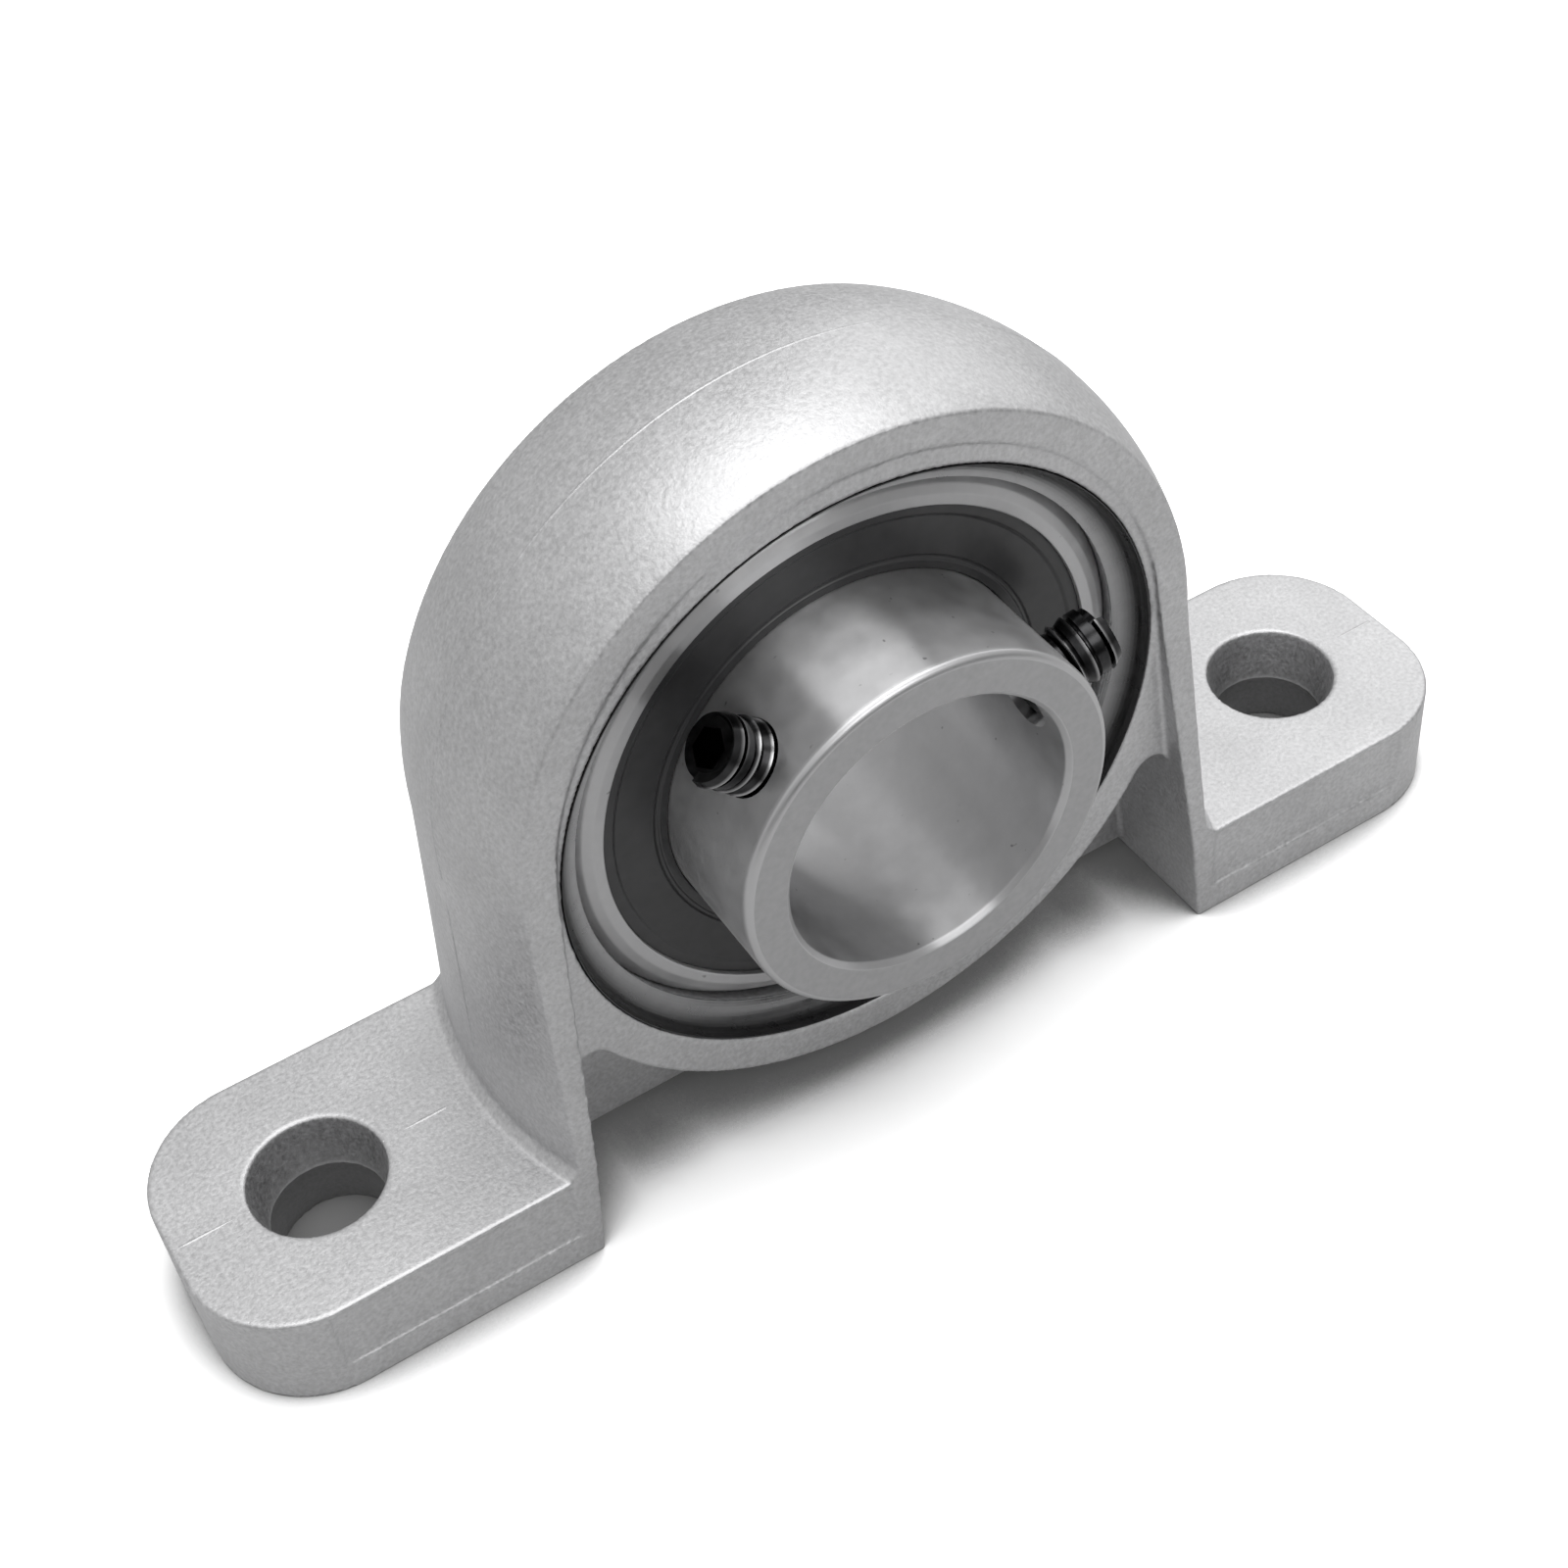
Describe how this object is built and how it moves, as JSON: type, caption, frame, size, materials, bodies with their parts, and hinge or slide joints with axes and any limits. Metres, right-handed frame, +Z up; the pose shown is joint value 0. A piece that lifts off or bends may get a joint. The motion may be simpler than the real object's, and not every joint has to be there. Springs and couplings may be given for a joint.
{
  "type": "pillow block bearing",
  "caption": "Miniature pillow block: a die-cast zinc housing on two bolt-down feet with a self-aligning sealed ball bearing and set screws for the shaft.",
  "frame": {"origin": "on the underside of the feet, midway between the two bolt holes", "axes": "+X along the base from the left foot to the right foot seen from the front, -Y along the shaft towards the side where the inner ring stands out, +Z up from the base"},
  "size_m": [0.0844, 0.0213, 0.0469],
  "materials": {
    "zinc_casting": "satin",
    "bearing_steel": "satin",
    "seal_rubber": "matte",
    "seal_steel": "satin",
    "cage_nylon": "matte",
    "black_screw_steel": "satin"
  },
  "bodies": {
    "housing": {"housing": "zinc_casting"},
    "insert": {"outer_ring": "bearing_steel", "front_seal_core": "seal_steel", "front_seal_lip": "seal_rubber", "rear_seal_core": "seal_steel", "rear_seal_lip": "seal_rubber"},
    "inner_ring": {"inner_ring": "bearing_steel"},
    "cage": {"cage": "cage_nylon"},
    "set_screw_left": {"set_screw_left": "black_screw_steel"},
    "set_screw_right": {"set_screw_right": "black_screw_steel"}
  },
  "joints": [
    {"name": "self_alignment", "type": "hinge", "parent": "housing", "child": "insert", "pos_m": [0, 0, 0.024], "axis": [1, 0, 0], "range_deg": [-3, 3]},
    {"name": "shaft_spin", "type": "hinge", "parent": "insert", "child": "inner_ring", "pos_m": [0, 0, 0.024], "axis": [0, -1, 0], "continuous": true},
    {"name": "cage_orbit", "type": "hinge", "parent": "insert", "child": "cage", "pos_m": [0, 0, 0.024], "axis": [0, -1, 0], "continuous": true},
    {"name": "set_screw_left_travel", "type": "slide", "parent": "inner_ring", "child": "set_screw_left", "axis": [-0.7314, 0, 0.682], "range_m": [-0.0003, 0.0015]},
    {"name": "set_screw_right_travel", "type": "slide", "parent": "inner_ring", "child": "set_screw_right", "axis": [0.9563, 0, 0.2924], "range_m": [-0.0003, 0.0015]}
  ],
  "couplings": [
    {"joint": "cage_orbit", "follows": "shaft_spin", "ratio": 0.4081}
  ]
}
